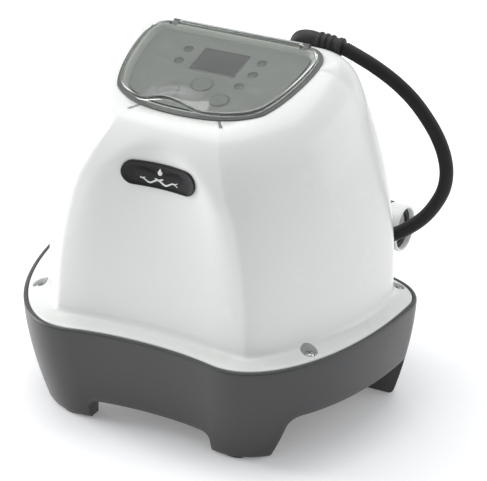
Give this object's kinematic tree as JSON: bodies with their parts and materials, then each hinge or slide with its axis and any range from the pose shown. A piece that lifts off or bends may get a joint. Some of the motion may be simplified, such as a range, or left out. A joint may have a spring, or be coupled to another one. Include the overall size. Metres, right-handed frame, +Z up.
{
  "type": "salt chlorine generator",
  "caption": "Free-standing pool salt chlorine generator: white tower on a grey four-footed base, hinged smoky cover over the keypad, flow cell with two hose ports behind.",
  "frame": {"origin": "on the floor, below the middle of the object measured without its cell cable", "axes": "+Z up, -Y to the front with the badge, +X to the side where the cell cable loops"},
  "size_m": [0.3146, 0.243, 0.2753],
  "materials": {
    "white_housing": "satin moulded, lightly glossy",
    "grey_base": "fine spark texture",
    "port_white": "satin moulded",
    "cell_grey": "satin moulded",
    "cell_black": "satin moulded",
    "cable_rubber": "matt extruded jacket",
    "seal_rubber": "matt",
    "screw_steel": "bright plated",
    "badge_black": null,
    "bezel_grey": "satin moulded",
    "keypad_film": "printed film, fine texture",
    "indicator_lens": "tinted window",
    "display_window": "dark window",
    "smoke_cover": "clear smoked moulding",
    "circuit_board": "solder mask",
    "component_black": "moulded",
    "core_iron": "laminated",
    "winding_copper": "enamelled wire",
    "heat_sink_aluminium": "extruded",
    "electrode_titanium": "coated plate"
  },
  "bodies": {
    "housing": {"upper_housing": "white_housing", "base_housing": "grey_base", "cell_saddle_left": "grey_base", "cell_saddle_right": "grey_base", "electrode_head": "cell_grey", "flow_cell_body": "cell_black", "flow_switch": "cell_black", "cable_socket": "cell_black", "mains_gland": "cell_black", "cell_cable": "cable_rubber", "plug_elbow": "cable_rubber", "cell_gland": "cable_rubber", "foot_pad_front_left": "seal_rubber", "foot_pad_front_right": "seal_rubber", "foot_pad_rear_left": "seal_rubber", "foot_pad_rear_right": "seal_rubber", "base_gasket": "seal_rubber", "cell_seal": "seal_rubber", "case_screw_front_left": "screw_steel", "case_screw_front_right": "screw_steel", "case_screw_rear_left": "screw_steel", "case_screw_rear_right": "screw_steel", "cover_hinge_pin": "screw_steel", "paddle_pin": "screw_steel", "badge": "badge_black", "panel_bezel": "bezel_grey", "keypad_overlay": "keypad_film", "indicator_power": "indicator_lens", "indicator_pump": "indicator_lens", "indicator_high": "indicator_lens", "indicator_low": "indicator_lens", "indicator_service": "indicator_lens", "display_window": "display_window", "control_board": "circuit_board", "power_board": "circuit_board", "display_module": "component_black", "switch_power": "component_black", "switch_timer": "component_black", "switch_boost": "component_black", "capacitor": "component_black", "relay": "component_black", "transformer_core": "core_iron", "transformer_winding": "winding_copper", "heat_sink": "heat_sink_aluminium", "electrode_plate_1": "electrode_titanium", "electrode_plate_2": "electrode_titanium", "electrode_plate_3": "electrode_titanium", "electrode_plate_4": "electrode_titanium"},
    "cover": {"panel_cover": "smoke_cover"},
    "power_key": {"key_power": "keypad_film"},
    "timer_key": {"key_timer": "keypad_film"},
    "boost_key": {"key_boost": "keypad_film"},
    "right_nut": {"union_nut_right": "port_white", "port_seal_right": "seal_rubber"},
    "left_nut": {"union_nut_left": "port_white", "port_seal_left": "seal_rubber"},
    "cell_lock": {"lock_ring": "port_white"},
    "paddle": {"flow_paddle": "port_white"}
  },
  "joints": [
    {"name": "cover_hinge", "type": "hinge", "parent": "housing", "child": "cover", "pos_m": [0, 0.04148, 0.27055], "axis": [-1, 0, 0], "range_deg": [0, 105]},
    {"name": "power_press", "type": "slide", "parent": "housing", "child": "power_key", "axis": [0, 0.2453, -0.9694], "range_m": [0, 0.0006], "stiffness_N_per_m": 400, "springref_m": -0.0015},
    {"name": "timer_press", "type": "slide", "parent": "housing", "child": "timer_key", "axis": [0, 0.2453, -0.9694], "range_m": [0, 0.0006], "stiffness_N_per_m": 400, "springref_m": -0.0015},
    {"name": "boost_press", "type": "slide", "parent": "housing", "child": "boost_key", "axis": [0, 0.2453, -0.9694], "range_m": [0, 0.0006], "stiffness_N_per_m": 400, "springref_m": -0.0015},
    {"name": "right_nut_turn", "type": "hinge", "parent": "housing", "child": "right_nut", "pos_m": [0.108, 0.09525, 0.111], "axis": [1, 0, 0], "continuous": true},
    {"name": "left_nut_turn", "type": "hinge", "parent": "housing", "child": "left_nut", "pos_m": [-0.108, 0.09525, 0.111], "axis": [-1, 0, 0], "continuous": true},
    {"name": "cell_lock_turn", "type": "hinge", "parent": "housing", "child": "cell_lock", "pos_m": [-0.025, 0.09525, 0.138], "axis": [0, 0, 1], "range_deg": [0, 60]},
    {"name": "paddle_swing", "type": "hinge", "parent": "housing", "child": "paddle", "pos_m": [0.02, 0.09525, 0.121], "axis": [0, -1, 0], "range_deg": [0, 35]}
  ]
}
